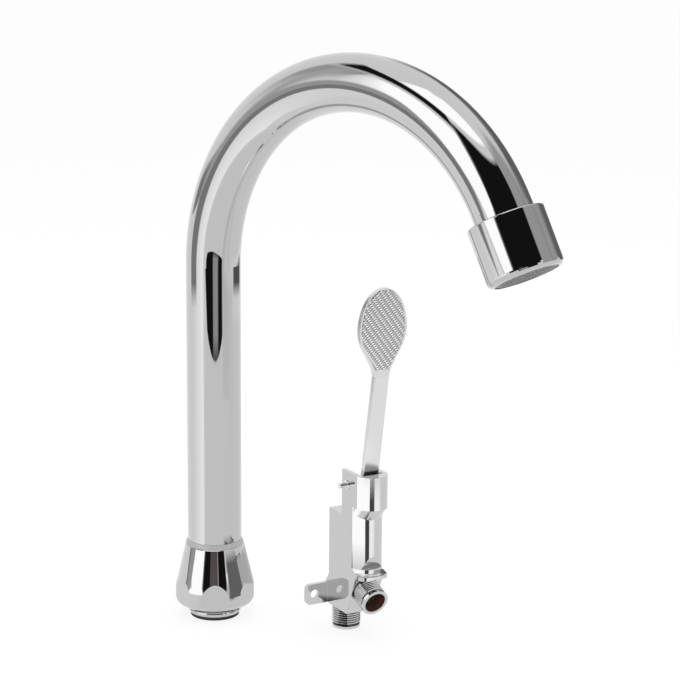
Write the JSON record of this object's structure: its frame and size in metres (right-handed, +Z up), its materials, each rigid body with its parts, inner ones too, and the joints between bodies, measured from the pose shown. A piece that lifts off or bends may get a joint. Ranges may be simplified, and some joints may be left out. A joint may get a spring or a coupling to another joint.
{
  "type": "foot pedal faucet",
  "caption": "Swivelling gooseneck water spout with a big aerator and, apart from it, a pedal valve with a knurled foot pad, two screw ears and male pipe threads.",
  "frame": {"origin": "middle of the spout's seat, on the plane that it stands on", "axes": "+Z up along the spout's upright tube; -Y the way the pedal valve faces, with +Y into the wall behind its ears; +X from the spout to the valve's side"},
  "size_m": [0.11, 0.2537, 0.3367],
  "materials": {
    "chrome": "polished chrome plating",
    "brass": "machined",
    "rubber": "matt",
    "plastic": "moulded",
    "steel": "bright drawn"
  },
  "bodies": {
    "base": {"base_gasket": "rubber", "base_adapter": "chrome", "coupling_nut": "chrome", "glide_ring": "plastic", "valve_body": "chrome", "seat_ring": "brass", "bonnet": "brass", "bonnet_o_ring": "rubber", "stem_o_rings": "rubber", "return_spring": "steel", "hinge_pin": "steel", "pin_clips": "steel"},
    "spout": {"spout_tail": "brass", "tail_o_rings": "rubber", "retaining_ring": "brass", "spout_tube": "chrome", "aerator_housing": "chrome", "aerator_gasket": "rubber", "aerator_cartridge": "plastic", "aerator_screen": "steel"},
    "lever": {"pedal": "chrome"},
    "stem": {"valve_stem": "brass", "valve_washer": "rubber", "washer_screw": "brass", "lift_button": "brass"}
  },
  "joints": [
    {"name": "spout_swivel", "type": "hinge", "parent": "base", "child": "spout", "pos_m": [0, 0, 0.04], "axis": [0, 0, 1], "continuous": true},
    {"name": "pedal_hinge", "type": "hinge", "parent": "base", "child": "lever", "pos_m": [0.058, -0.0705, 0.0903], "axis": [-1, 0, 0], "range_deg": [0, 15], "stiffness_Nm_per_rad": 2, "springref_deg": -17.19},
    {"name": "stem_lift", "type": "slide", "parent": "base", "child": "stem", "axis": [0, 0, 1], "range_m": [0, 0.0021], "deforming": ["return_spring"]}
  ],
  "couplings": [
    {"joint": "stem_lift", "follows": "pedal_hinge", "m_per_rad": 0.00764}
  ]
}
